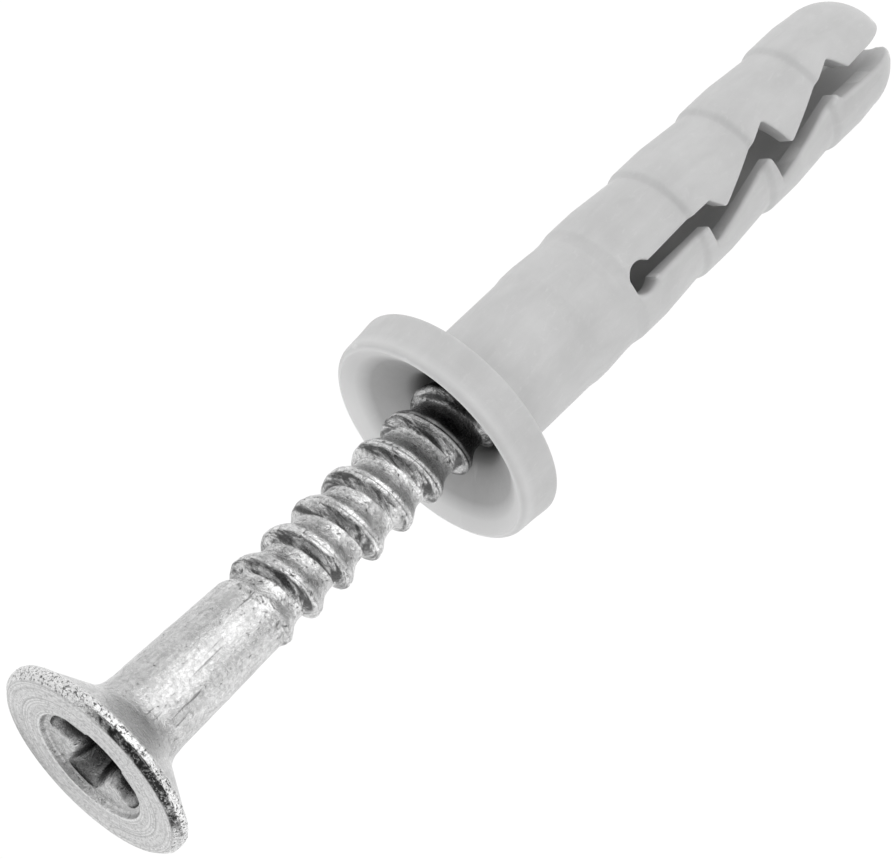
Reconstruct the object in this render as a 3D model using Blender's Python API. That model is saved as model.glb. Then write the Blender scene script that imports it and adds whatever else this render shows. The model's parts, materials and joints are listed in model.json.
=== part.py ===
"""Hammer-in nail plug: a flanged nylon plug whose two expansion legs are driven apart by a steel nail screw.

The frame's +Y axis runs along the plug into the wall and +Z is up. The origin is the centre of
the collar's back face, which rests on the wall. Dimensions below are in millimetres, and the
nail is shown started in its plug, as the fixing is sold.
"""

import math

import bmesh
import bpy
from mathutils import Vector

MM = 0.001

# Collar and sleeve of the plug
PLUG_RADIUS = 4.0  # half of the 8 mm hole that the plug is pushed into
PLUG_LENGTH = 36.8  # from the collar's back face to the tips of the legs
COLLAR_DEPTH = 2.7
LIP_WIDTH = 0.2  # thin front edge between the dish and the collar's outside
COLLAR_FLARE = 0.5  # how much wider the collar is at the wall than at its lip
BAND_START = 7.2  # raised band on the sleeve
BAND_LENGTH = 3.3
BAND_RISE = 0.1
SLEEVE_UNDERSIZE = 0.05  # how far the sleeve stays inside the hole's radius

# Barb rings, each a step that faces the collar and tapers towards the tip
BARB_START = 11.1
BARB_PITCH = 6.2
BARB_COUNT = 4
BARB_RISE = 0.03  # how far the first ring stands over the hole's radius
BARB_DROP = 0.28
BARB_SHRINK = 0.065  # each ring is this much smaller than the one before
STEP_RUN = 0.12
LEVEL_SHARE = 0.45  # share of a band or ring that stays level before it tapers
NOSE_LENGTH = 2.9
NOSE_END_RADIUS = 1.8

# Keyhole, slot and interlocking teeth
HINGE_Y = 12.6  # centre of the keyhole, where the legs bend
KEYHOLE_RADIUS = 1.1
SLOT_HALF = 0.6
TEETH_START = 18.4  # face of the first notch
TOOTH_NOTCH = 1.9  # how far a notch reaches from the axis
TOOTH_REACH = 0.42  # how far the lower teeth pass over the axis
TOOTH_GAP = 1.5  # along the axis, between a tooth and the notch that it enters
TOOTH_COUNT = 2  # on each leg
TOOTH_STOP = 0.11  # how far the +X leg's teeth stay from the axis
FACE_LEAN = 0.1  # how far a tooth's steep face leans along the axis
HINGE_GAP = 0.05  # opening between the sleeve and a leg at the living hinge
LEG_OPENING = 4.0  # degrees that each leg has turned when the nail is home

# Nail screw
NAIL_LENGTH = 45.0
NAIL_IN_PLUG = 14.8  # how far the point is past the wall's face before the nail is driven
HEAD_RADIUS = 6.5
RIM_ROUND = 0.3  # from the flat face to the outside of the rim
RIM_DEPTH = 1.0
HEAD_CONE = 56.0  # degrees between the underside of the head and the axis
FLARE_RADIUS = 1.7  # fillet between that cone and the shank
SHANK_LENGTH = 13.4  # from the face to the start of the thread
THREAD_CREST = 2.67
THREAD_ROOT = 2.18
SHANK_OVER_CREST = 0.05  # the neck of the shank is this much larger than the thread
SHANK_TAPER = 0.34
THREAD_PITCH = 2.5
THREAD_FADE = 0.9  # turns over which the thread rises from the shank
POINT_LENGTH = 4.0
POINT_RADIUS = 0.45
TIP_ROUNDING = 0.25  # from the last of the thread to the very tip
DIMPLE_RADIUS = 3.7
DIMPLE_DEPTH = 0.25
RECESS_RADIUS = 3.35
RECESS_WIDTH = 1.3
RECESS_DEPTH = 3.1
RIB_WIDTH = 0.45
HEAD_PROUD = 0.8  # how far the head stands out of the collar when the nail is home

# Clearances
BORE_CLEARANCE = 0.05  # between the neck of the shank and the bore, on the radius
SEAT_CLEARANCE = 0.06  # between the head's underside and the dish, on the radius
END_MARGIN = 1.0  # how far the cutters run past what they cut

SEGMENTS = 40
THREAD_SEGMENTS = 24
MERGE = 0.0005  # points closer than this are one

# Sizes that follow from those above
FACE_RADIUS = HEAD_RADIUS - RIM_ROUND
NECK_RADIUS = THREAD_CREST + SHANK_OVER_CREST
BORE_RADIUS = NECK_RADIUS + BORE_CLEARANCE
FACE_Y = NAIL_IN_PLUG - NAIL_LENGTH
SEATED_FACE_Y = -COLLAR_DEPTH - HEAD_PROUD
DRIVE_TRAVEL = SEATED_FACE_Y - FACE_Y
CONE_SLOPE = math.tan(math.radians(HEAD_CONE))


def new_material(name, colour, roughness, metallic):
    """A Principled material of one colour."""
    material = bpy.data.materials.new(name)
    material.use_nodes = True
    shader = material.node_tree.nodes["Principled BSDF"]
    shader.inputs["Base Color"].default_value = (*colour, 1.0)
    shader.inputs["Roughness"].default_value = roughness
    shader.inputs["Metallic"].default_value = metallic
    material.diffuse_color = (*colour, 1.0)
    return material


def new_object(name, mesh_of, origin=(0.0, 0.0, 0.0), material=None):
    """Make an object from a bmesh in millimetres, with its own origin at the point given."""
    bmesh.ops.remove_doubles(mesh_of, verts=mesh_of.verts, dist=MERGE)
    bmesh.ops.recalc_face_normals(mesh_of, faces=mesh_of.faces)
    place = Vector(origin)
    for vert in mesh_of.verts:
        vert.co = (vert.co - place) * MM
    mesh = bpy.data.meshes.new(name)
    mesh_of.to_mesh(mesh)
    mesh_of.free()
    mesh.shade_smooth()
    mesh.set_sharp_from_angle(angle=math.radians(32.0))
    obj = bpy.data.objects.new(name, mesh)
    obj.location = place * MM
    if material:
        mesh.materials.append(material)
    bpy.context.scene.collection.objects.link(obj)
    return obj


def as_cutter(obj):
    """Keep a helper out of the model."""
    obj.hide_render = True
    obj.display_type = "WIRE"
    return obj


def boolean(obj, cutter, operation):
    modifier = obj.modifiers.new(f"{operation.lower()}_{cutter.name}", "BOOLEAN")
    modifier.operation = operation
    modifier.solver = "EXACT"
    modifier.object = cutter


def turned(profile, on_axis=False):
    """An outline of (radius, y) points turned about the Y axis.

    The outline closes on itself, or else starts and ends on the axis.
    """
    bm = bmesh.new()
    verts = [bm.verts.new((radius, y, 0.0)) for radius, y in profile]
    first = 1 if on_axis else 0
    edges = [bm.edges.new((verts[i - 1], verts[i])) for i in range(first, len(verts))]
    bmesh.ops.spin(
        bm,
        geom=verts + edges,
        cent=(0.0, 0.0, 0.0),
        axis=(0.0, 1.0, 0.0),
        steps=SEGMENTS,
        angle=math.tau,
        use_merge=True,
    )
    return bm


def prism(outline, half_height):
    """An outline of (x, y) points extruded along Z, the same distance to both sides."""
    bm = bmesh.new()
    verts = [bm.verts.new((x, y, -half_height)) for x, y in outline]
    face = bm.faces.new(verts)
    grown = bmesh.ops.extrude_face_region(bm, geom=[face])["geom"]
    raised = [item for item in grown if isinstance(item, bmesh.types.BMVert)]
    bmesh.ops.translate(bm, verts=raised, vec=(0.0, 0.0, 2.0 * half_height))
    return bm


def lofted(rings):
    """Skin rings of equally many points and close the two ends."""
    bm = bmesh.new()
    loops = [[bm.verts.new(point) for point in ring] for ring in rings]
    for low, high in zip(loops, loops[1:]):
        for i in range(len(low)):
            bm.faces.new((low[i - 1], low[i], high[i], high[i - 1]))
    bm.faces.new(loops[0])
    bm.faces.new(reversed(loops[-1]))
    return bm


def barb_radius(index):
    return PLUG_RADIUS + BARB_RISE - BARB_SHRINK * index


def plug_outline():
    """(radius, y) along the outside of the plug, from the collar to the end of the nose."""
    plain = PLUG_RADIUS - SLEEVE_UNDERSIZE
    valley = plain - SLEEVE_UNDERSIZE
    points = [(plain, 0.0), (plain, BAND_START)]
    points.append((plain + BAND_RISE, BAND_START + STEP_RUN))
    points.append((plain + BAND_RISE, BAND_START + LEVEL_SHARE * BAND_LENGTH))
    points.append((valley, BAND_START + BAND_LENGTH))
    points.append((valley, BARB_START))
    for index in range(BARB_COUNT):
        start = BARB_START + BARB_PITCH * index
        top = barb_radius(index)
        end = start + BARB_PITCH
        points.append((top, start + STEP_RUN))
        points.append((top, start + LEVEL_SHARE * BARB_PITCH))
        if end < PLUG_LENGTH - NOSE_LENGTH:
            points.append((top - BARB_DROP, end))
    return points + nose_outline()


def nose_outline():
    """The rounded end of the legs, as a quarter of an ellipse down to a flat end."""
    wide = barb_radius(BARB_COUNT - 1) - (1.0 - LEVEL_SHARE) * BARB_DROP
    start = PLUG_LENGTH - NOSE_LENGTH
    last = math.acos(NOSE_END_RADIUS / wide)
    steps = 5
    points = []
    for step in range(steps + 1):
        angle = last * step / steps
        rise = math.sin(angle) / math.sin(last)
        points.append((wide * math.cos(angle), start + NOSE_LENGTH * rise))
    return points


def outline_between(points, first_y, last_y):
    """The part of an outline between two planes, with points added on the planes."""
    kept = []
    for (r0, y0), (r1, y1) in zip(points, points[1:]):
        for y in (first_y, last_y):
            if y0 < y < y1:
                kept.append((r0 + (r1 - r0) * (y - y0) / (y1 - y0), y))
        if first_y <= y1 <= last_y:
            kept.append((r1, y1))
    if points[0][1] >= first_y:
        kept.insert(0, points[0])
    return sorted(set(kept), key=lambda point: (point[1], -point[0]))


def flare_points():
    """(radius, depth) from the head's cone, round the fillet, to the neck of the shank."""
    corner = RIM_DEPTH + (FACE_RADIUS - NECK_RADIUS) / CONE_SLOPE
    tangent = FLARE_RADIUS * math.tan(math.radians(HEAD_CONE) / 2.0)
    centre_depth = corner + tangent
    centre_radius = NECK_RADIUS + FLARE_RADIUS
    steps = 4
    points = []
    for step in range(steps + 1):
        angle = math.radians(HEAD_CONE) * (1.0 - step / steps)
        radius = centre_radius - FLARE_RADIUS * math.cos(angle)
        points.append((radius, centre_depth - FLARE_RADIUS * math.sin(angle)))
    return points


def dish_outline():
    """The dish takes the head's cone and flare at the place where the nail is home."""
    mouth = FACE_RADIUS + (RIM_DEPTH - HEAD_PROUD) * CONE_SLOPE + SEAT_CLEARANCE
    points = [(mouth, -COLLAR_DEPTH)]
    for radius, depth in flare_points():
        points.append((max(radius + SEAT_CLEARANCE, BORE_RADIUS), SEATED_FACE_Y + depth))
    return points


def hinge_radius():
    """Radius of the plug's skin at the keyhole, where each leg's hinge line lies."""
    outline = plug_outline()
    for (r0, y0), (r1, y1) in zip(outline, outline[1:]):
        if y0 <= HINGE_Y <= y1:
            return max(r0, r1)
    return PLUG_RADIUS


def keyhole(name):
    """The round hole at the end of the slot, right through the plug along Z."""
    steps = 20
    circle = []
    for step in range(steps):
        angle = math.tau * (step + 0.5) / steps
        x = KEYHOLE_RADIUS * math.cos(angle)
        circle.append((x, HINGE_Y + KEYHOLE_RADIUS * math.sin(angle)))
    return as_cutter(new_object(name, prism(circle, PLUG_RADIUS + END_MARGIN)))


def make_sleeve(material):
    """Collar, dish and the round sleeve up to the living hinges."""
    end = HINGE_Y - HINGE_GAP / 2.0
    dish = dish_outline()
    front = dish[0][0] + LIP_WIDTH
    outside = outline_between(plug_outline(), 0.0, end)
    profile = [(front, -COLLAR_DEPTH), (front + COLLAR_FLARE, 0.0)]
    profile += outside
    profile.append((BORE_RADIUS, end))
    profile += reversed(dish)
    sleeve = new_object("plug_sleeve", turned(profile), material=material)
    boolean(sleeve, keyhole("keyhole_in_sleeve"), "DIFFERENCE")
    return sleeve


def lower_edge():
    """(x, y) along the +X leg's side of the slot: teeth that stop short of the axis."""
    points = [(SLOT_HALF, HINGE_Y - END_MARGIN), (SLOT_HALF, TEETH_START - FACE_LEAN)]
    for index in range(TOOTH_COUNT):
        face = TEETH_START + BARB_PITCH * index
        points.append((TOOTH_NOTCH, face + FACE_LEAN))
        points.append((TOOTH_STOP, face + BARB_PITCH - FACE_LEAN))
    points.append((SLOT_HALF, TEETH_START + TOOTH_COUNT * BARB_PITCH + FACE_LEAN))
    points.append((SLOT_HALF, PLUG_LENGTH + END_MARGIN))
    return points


def upper_edge():
    """(x, y) along the -X leg's side of the slot: teeth that pass over the axis."""
    first = TEETH_START + TOOTH_GAP
    lean = 8.0 * FACE_LEAN
    points = [(-SLOT_HALF, HINGE_Y - END_MARGIN), (-SLOT_HALF, first - lean)]
    for index in range(TOOTH_COUNT):
        tip = first + BARB_PITCH * index
        points.append((TOOTH_REACH, tip))
        points.append((TOOTH_STOP - TOOTH_NOTCH, tip + BARB_PITCH - lean))
    points.append((-SLOT_HALF, first + TOOTH_COUNT * BARB_PITCH))
    points.append((-SLOT_HALF, PLUG_LENGTH + END_MARGIN))
    return points


def make_channel(name, side):
    """The hollow that leaves room for the nail at every stage of its travel.

    The nail's full radius reaches a place x past the hinge after a travel of x plus its lead.
    A leg has then turned by the same share of its opening, so its hollow starts that much
    closer to the other leg.
    """
    turn_per_mm = math.radians(LEG_OPENING) / DRIVE_TRAVEL
    lead = HINGE_Y - (NAIL_IN_PLUG - POINT_LENGTH)
    rings = []
    steps = 12
    first = HINGE_Y - END_MARGIN
    last = PLUG_LENGTH + END_MARGIN
    for step in range(steps + 1):
        y = first + (last - first) * step / steps
        past = max(y - HINGE_Y, 0.0)
        offset = -side * turn_per_mm * (past + lead) * past
        ring = []
        for index in range(SEGMENTS):
            angle = math.tau * index / SEGMENTS
            x = offset + BORE_RADIUS * math.cos(angle)
            ring.append((x, y, BORE_RADIUS * math.sin(angle)))
        rings.append(ring)
    return as_cutter(new_object(name, lofted(rings)))


def make_leg(name, side, edge, material):
    """One expansion leg, hinged on the plug's skin; side is +1 for +X and -1 for -X."""
    start = HINGE_Y + HINGE_GAP / 2.0
    outside = outline_between(plug_outline(), start, PLUG_LENGTH)
    profile = [(0.0, start), *outside, (0.0, PLUG_LENGTH)]
    hinge = (side * hinge_radius(), HINGE_Y, 0.0)
    leg = new_object(name, turned(profile, on_axis=True), origin=hinge, material=material)
    reach = PLUG_RADIUS + END_MARGIN
    far = side * reach
    region = [*edge, (far, PLUG_LENGTH + END_MARGIN), (far, HINGE_Y - END_MARGIN)]
    half = as_cutter(new_object(f"side_of_{name}", prism(region, reach)))
    boolean(leg, half, "INTERSECT")
    boolean(leg, make_channel(f"channel_of_{name}", side), "DIFFERENCE")
    boolean(leg, keyhole(f"keyhole_in_{name}"), "DIFFERENCE")
    return leg


def head_and_shank():
    """(radius, y) of the nail without its thread, from the face's centre to inside the thread."""
    rim = [(FACE_RADIUS, 0.0), (HEAD_RADIUS - 0.3 * RIM_ROUND, 0.3 * RIM_ROUND)]
    rim += [(HEAD_RADIUS, RIM_ROUND), (HEAD_RADIUS, RIM_DEPTH - 1.2 * RIM_ROUND)]
    rim.append((HEAD_RADIUS - 0.25 * RIM_ROUND, RIM_DEPTH - 0.6 * RIM_ROUND))
    rim.append((FACE_RADIUS, RIM_DEPTH))
    end_radius = NECK_RADIUS - SHANK_TAPER
    dimple = [(DIMPLE_RADIUS - DIMPLE_DEPTH, DIMPLE_DEPTH), (DIMPLE_RADIUS, 0.0)]
    shank = [(end_radius, SHANK_LENGTH), (0.0, SHANK_LENGTH)]
    depths = [(0.0, DIMPLE_DEPTH), *dimple, *rim, *flare_points(), *shank]
    return [(radius, FACE_Y + depth) for radius, depth in depths]


def thread_radius(is_crest, y):
    """Crest or root of the thread, faded in at the shank and cut down along the point."""
    fade_length = THREAD_FADE * THREAD_PITCH
    hidden = 0.95 * THREAD_ROOT
    fade = min(max((y - FACE_Y - SHANK_LENGTH) / fade_length + 1.0, 0.0), 1.0)
    full = THREAD_CREST if is_crest else THREAD_ROOT
    radius = hidden + (full - hidden) * fade
    to_tip = max(NAIL_IN_PLUG - y, 0.0) / POINT_LENGTH
    limit = POINT_RADIUS + (full - POINT_RADIUS) * min(to_tip, 1.0)
    return min(radius, limit)


def threaded_rod():
    """A right-hand buttress thread: steep flanks face the head and gentle ones the point."""
    phases = [(0.0, False), (0.14, True), (0.36, True), (0.66, False)]
    last = NAIL_IN_PLUG - TIP_ROUNDING
    turns = math.ceil((last - FACE_Y - SHANK_LENGTH) / THREAD_PITCH) + 1
    first = last - THREAD_PITCH * (turns + 1)
    rows = turns * len(phases)
    bm = bmesh.new()

    def vert_at(row, index):
        phase, is_crest = phases[row % len(phases)]
        turn = row // len(phases) + phase + index / THREAD_SEGMENTS
        y = first + THREAD_PITCH * turn
        angle = math.tau * index / THREAD_SEGMENTS
        radius = thread_radius(is_crest, y)
        return bm.verts.new((radius * math.sin(angle), y, radius * math.cos(angle)))

    grid = [[vert_at(row, i) for i in range(THREAD_SEGMENTS)] for row in range(rows + 1)]
    per_turn = len(phases)
    for row in range(rows):
        for i in range(THREAD_SEGMENTS):
            if i + 1 < THREAD_SEGMENTS:
                nearer, further = grid[row][i + 1], grid[row + 1][i + 1]
            elif row + 1 + per_turn <= rows:
                nearer, further = grid[row + per_turn][0], grid[row + per_turn + 1][0]
            else:
                continue
            bm.faces.new((grid[row][i], nearer, further, grid[row + 1][i]))
    close_ends(bm, first, NAIL_IN_PLUG)
    return bm


def close_ends(bm, first_y, tip_y):
    """Close the two open helical ends of a rod with a fan each."""
    open_edges = [edge for edge in bm.edges if len(edge.link_faces) == 1]
    middle = (first_y + tip_y) / 2.0
    for y, side in ((first_y, -1.0), (tip_y, 1.0)):
        centre = bm.verts.new((0.0, y, 0.0))
        for edge in open_edges:
            if (edge.verts[0].co.y - middle) * side > 0.0:
                bm.faces.new((edge.verts[0], edge.verts[1], centre))


def recess_ring(wing, half_width, rib, depth):
    """A cross of four wings with a small rib between each two, at one depth below the face."""
    ring = []
    inner = half_width * 1.25
    for quarter in range(4):
        base = math.tau * quarter / 4.0
        corners = [(wing, -half_width), (wing, half_width), (inner, inner - rib)]
        corners += [(inner + 0.7 * rib, inner + 0.7 * rib), (inner - rib, inner)]
        for x, z in corners:
            turned_x = x * math.cos(base) - z * math.sin(base)
            turned_z = x * math.sin(base) + z * math.cos(base)
            ring.append((turned_x, FACE_Y + depth, turned_z))
    return ring


def make_recess():
    """Tapered cross recess for the driver."""
    half = RECESS_WIDTH / 2.0
    above = recess_ring(1.03 * RECESS_RADIUS, 1.03 * half, RIB_WIDTH, -END_MARGIN)
    mouth = recess_ring(RECESS_RADIUS, half, RIB_WIDTH, 0.0)
    floor = recess_ring(0.55 * RECESS_RADIUS, 0.8 * half, 0.5 * RIB_WIDTH, 0.9 * RECESS_DEPTH)
    point = recess_ring(0.35 * RECESS_RADIUS, 0.5 * half, 0.3 * RIB_WIDTH, RECESS_DEPTH)
    return as_cutter(new_object("driver_recess", lofted([above, mouth, floor, point])))


def make_nail(material):
    """Head, shank and thread in one piece, sliding along the plug's axis."""
    origin = (0.0, FACE_Y, 0.0)
    body = turned(head_and_shank(), on_axis=True)
    nail = new_object("nail_screw", body, origin=origin, material=material)
    thread = as_cutter(new_object("thread_of_nail", threaded_rod()))
    boolean(nail, thread, "UNION")
    boolean(nail, make_recess(), "DIFFERENCE")
    return nail


def add_joint_axis(name, point, children):
    """An empty on a joint's axis, which its moving piece hangs on."""
    empty = bpy.data.objects.new(name, None)
    empty.empty_display_size = 3.0 * MM
    empty.location = Vector(point) * MM
    bpy.context.scene.collection.objects.link(empty)
    for child in children:
        child.location = child.location - empty.location
        child.parent = empty
    return empty


def main():
    for obj in list(bpy.data.objects):
        bpy.data.objects.remove(obj, do_unlink=True)
    nylon = new_material("nylon_sleeve", (0.55, 0.55, 0.54), 0.45, 0.0)
    nylon_left = new_material("nylon_leg_left", (0.57, 0.57, 0.56), 0.45, 0.0)
    nylon_right = new_material("nylon_leg_right", (0.53, 0.53, 0.52), 0.45, 0.0)
    zinc = new_material("zinc_plated_steel", (0.62, 0.63, 0.64), 0.28, 1.0)
    make_sleeve(nylon)
    right = make_leg("expansion_leg_right", 1.0, lower_edge(), nylon_right)
    left = make_leg("expansion_leg_left", -1.0, upper_edge(), nylon_left)
    nail = make_nail(zinc)
    skin = hinge_radius()
    add_joint_axis("right_leg_hinge_axis", (skin, HINGE_Y, 0.0), [right])
    add_joint_axis("left_leg_hinge_axis", (-skin, HINGE_Y, 0.0), [left])
    add_joint_axis("nail_drive_axis", (0.0, FACE_Y, 0.0), [nail])


main()
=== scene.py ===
import json
import math

import bmesh
import bpy
import numpy as np
from mathutils import Matrix, Vector, noise


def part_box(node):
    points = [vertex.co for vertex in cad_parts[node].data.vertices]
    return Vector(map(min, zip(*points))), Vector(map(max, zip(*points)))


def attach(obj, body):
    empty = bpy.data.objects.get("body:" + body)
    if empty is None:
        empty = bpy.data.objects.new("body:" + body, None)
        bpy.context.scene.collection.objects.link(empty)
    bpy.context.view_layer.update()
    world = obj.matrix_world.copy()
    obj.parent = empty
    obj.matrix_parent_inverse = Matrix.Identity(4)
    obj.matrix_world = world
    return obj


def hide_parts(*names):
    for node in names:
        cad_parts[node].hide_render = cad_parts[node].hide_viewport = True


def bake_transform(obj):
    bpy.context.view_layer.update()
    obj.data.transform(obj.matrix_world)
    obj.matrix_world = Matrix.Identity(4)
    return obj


MM = 0.001

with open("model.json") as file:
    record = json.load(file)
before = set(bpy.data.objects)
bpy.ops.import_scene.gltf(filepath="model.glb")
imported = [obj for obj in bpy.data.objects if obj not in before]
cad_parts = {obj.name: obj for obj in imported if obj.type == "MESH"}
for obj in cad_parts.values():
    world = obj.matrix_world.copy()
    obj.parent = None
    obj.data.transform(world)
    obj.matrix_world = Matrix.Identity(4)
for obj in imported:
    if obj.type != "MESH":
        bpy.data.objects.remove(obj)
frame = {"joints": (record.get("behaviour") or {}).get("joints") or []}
joints = {joint["name"]: joint for joint in frame["joints"]}
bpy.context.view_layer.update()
nail_box = [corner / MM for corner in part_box("nail_screw")]
sleeve_box = [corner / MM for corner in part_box("plug_sleeve")]
leg_box = [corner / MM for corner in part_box("expansion_leg_right")]

# Sizes in millimetres. Those that the frame holds are read from it. The plug's axis is Y, its
# collar's back is at 0, and the nail comes from -Y.
FACE_Y = nail_box[0].y
TIP_Y = nail_box[1].y
HEAD_RADIUS = nail_box[1].x
COLLAR_FRONT = sleeve_box[0].y
COLLAR_RADIUS = sleeve_box[1].x
LEGS_END = leg_box[1].y

# The plug's bore, collar and dish. The dish is the seat of the nail's head.
BORE_RADIUS = 2.77
SLEEVE_RADIUS = 3.95
LIP_SETBACK = 0.68
LIP_RADIUS = 0.5
LIP_TURN = math.radians(72.0)
LIP_EDGE_ROUNDING = 0.12
COLLAR_BACK_ROUNDING = 0.2
COLLAR_HOLLOW = 0.12
HEAD_PROUD = 0.8
SEAT_CLEARANCE = 0.12
SEAT_FOOT = 0.15

# The nail's head, its neck and plain shank.
HEAD_CONE = math.radians(56.0)
RIM_DEPTH = 1.0
RIM_ROUND = 0.3
FACE_RADIUS = HEAD_RADIUS - RIM_ROUND
CHAMFER_RADIUS = HEAD_RADIUS - 0.46
RIM_SIDE_RADIUS = HEAD_RADIUS - 0.03
NECK_RADIUS = 2.72
FLARE_RADIUS = 1.7
SHANK_LENGTH = 13.4
SHANK_TAPER = 0.34

# The raised band and the barb rings round the plug.
BAND_START = 7.2
BAND_LENGTH = 3.3
BAND_RISE = 0.08
BAND_RUN = 0.6
VALLEY_DEPTH = 0.05
BARB_START = 11.1
BARB_PITCH = 6.2
BARB_COUNT = 4
BARB_TOP = 4.03
BARB_SHRINK = 0.065
BARB_DROP = 0.28
STEP_RUN = 0.4
FIRST_STEP_RUN = 0.8
LEVEL_SHARE = 0.45
NOSE_LENGTH = 2.9
NOSE_END_RADIUS = 2.1

# The keyhole, the slot and its teeth, and how the legs move as the nail is driven.
HINGE_Y = 12.6
KEYHOLE_RADIUS = 1.0
KEYHOLE_Y = HINGE_Y + 0.08
SEAM_Y = KEYHOLE_Y - KEYHOLE_RADIUS
SLOT_HALF = 0.6
END_FLARE = 0.42
TEETH_START = 18.4
TOOTH_NOTCH = 1.9
TOOTH_REACH = 0.42
TOOTH_GAP = 1.5
TOOTH_STOP = 0.11
TOOTH_COUNT = 2
FACE_LEAN = 0.1
TIP_LEAN = 8.0 * FACE_LEAN
TOOTH_ROUNDING = 0.22
LEFT_EDGE_ROUNDING = 0.14
RIGHT_EDGE_ROUNDING = 0.42
THINNEST_WALL = 0.04
NAIL_LEAD = 1.8
NAIL_TRAVEL = joints["nail_drive"]["range_m"][1] / MM
LEG_SPREAD = math.radians(joints["right_leg_spread"]["range_deg"][1])
SPREAD_PER_MM = LEG_SPREAD / NAIL_TRAVEL

# The thread and the point.
THREAD_PITCH = 2.5
THREAD_CREST = 2.68
THREAD_ROOT = 2.04
THREAD_TURN = math.radians(88.4)
THREAD_FADE = 0.9
THREAD_START = FACE_Y + SHANK_LENGTH - THREAD_FADE
DENT = 0.02
RAGGED_CREST = 0.05
POINT_LENGTH = 4.0
POINT_RADIUS = 0.45
TIP_ROUNDING = 0.25

# (columns of the pitch, height from root to crest) of the buttress thread.
THREAD_SHAPE = [(0, 0.0), (5, 0.06), (11, 0.3), (17, 0.62), (24, 0.86), (31, 0.96), (38, 1.0)]
THREAD_SHAPE += [(42, 1.0), (45, 0.92), (48, 0.9), (54, 0.92), (61, 0.87), (72, 0.68), (85, 0.42)]
THREAD_SHAPE += [(99, 0.2), (114, 0.06), (129, 0.0)]

# The head's face: the dimple, the turned grooves as (radius, depth), and the driver recess.
DIMPLE_RADIUS = 3.72
DIMPLE_DEPTH = 0.42
FACE_GROOVES = [(4.02, 0.02), (4.32, 0.035), (4.66, 0.015), (5.1, 0.03), (5.5, 0.012)]
GROOVE_WIDTH = 0.07
FACE_LEVEL = 0.012
RECESS_RADIUS = 3.3
RECESS_WIDTH = 1.3
RECESS_DEPTH = 3.1
RECESS_TURN = math.radians(23.5)
RECESS_REACH = 3.4
RIB_WIDTH = math.radians(13.0)

# How fine the meshes are.
SLEEVE_COLUMNS = 192
ROD_COLUMNS = 144
LEG_COLUMNS = 40
NOSE_STEPS = 14
FILLET_STEPS = 10
KEYHOLE_STEPS = 22
RECESS_STEPS = 144
SAME_POINT = 0.0004
SAME_ROW = 0.006


# ---------------------------------------------------------------- meshes


def rounded(points, step=math.radians(12.0)):
    """A polyline of (a, b, rounding) with each corner rounded off over about that length."""
    line = []
    for index, (a, b, size) in enumerate(points):
        here = Vector((a, b))
        if size <= 0.0 or index in (0, len(points) - 1):
            line.append(here)
            continue
        back = Vector(points[index - 1][:2]) - here
        onward = Vector(points[index + 1][:2]) - here
        turn = math.pi - back.angle(onward)
        if turn < 0.02:
            line.append(here)
            continue
        reach = min(size * math.tan(turn / 2.0), 0.48 * back.length, 0.48 * onward.length)
        start = here + back.normalized() * reach
        end = here + onward.normalized() * reach
        pieces = max(3, math.ceil(turn / step))
        for piece in range(pieces + 1):
            t = piece / pieces
            line.append(start * (1.0 - t) ** 2 + here * (2.0 * t * (1.0 - t)) + end * t * t)
    return [(point.x, point.y) for point in line]


def filled_in(line, longest):
    """The same polyline with points added so that no step is longer than that."""
    dense = [line[0]]
    for (a0, b0), (a1, b1) in zip(line, line[1:]):
        count = max(1, math.ceil(math.hypot(a1 - a0, b1 - b0) / longest))
        for k in range(1, count + 1):
            dense.append((a0 + (a1 - a0) * k / count, b0 + (b1 - b0) * k / count))
    return dense


def ring_at(radius, y, columns):
    angles = [math.tau * k / columns for k in range(columns)]
    return [(radius * math.sin(a), y, radius * math.cos(a)) for a in angles]


def new_piece(name, verts, faces, material, sharp=38.0):
    """A mesh object from points in millimetres, smooth but for its sharp edges."""
    mesh = bpy.data.meshes.new(name)
    mesh.from_pydata([(x * MM, y * MM, z * MM) for x, y, z in verts], [], faces)
    bm = bmesh.new()
    bm.from_mesh(mesh)
    bmesh.ops.remove_doubles(bm, verts=bm.verts, dist=SAME_POINT * MM)
    bmesh.ops.dissolve_degenerate(bm, edges=bm.edges, dist=SAME_POINT * MM)
    bmesh.ops.recalc_face_normals(bm, faces=bm.faces)
    bm.to_mesh(mesh)
    bm.free()
    mesh.shade_smooth()
    mesh.set_sharp_from_angle(angle=math.radians(sharp))
    mesh.materials.append(material)
    obj = bpy.data.objects.new(name, mesh)
    bpy.context.scene.collection.objects.link(obj)
    return obj


def flare_depths():
    """(radius, depth below the face) from the rim's underside to the foot of the fillet."""
    slope = math.tan(HEAD_CONE)
    corner = RIM_DEPTH + (FACE_RADIUS - NECK_RADIUS) / slope
    centre_depth = corner + FLARE_RADIUS * math.tan(HEAD_CONE / 2.0)
    centre_radius = NECK_RADIUS + FLARE_RADIUS
    line = [(FACE_RADIUS, RIM_DEPTH)]
    for step in range(FILLET_STEPS + 1):
        angle = HEAD_CONE * (1.0 - step / FILLET_STEPS)
        depth = centre_depth - FLARE_RADIUS * math.sin(angle)
        line.append((centre_radius - FLARE_RADIUS * math.cos(angle), depth))
    return line


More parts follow.
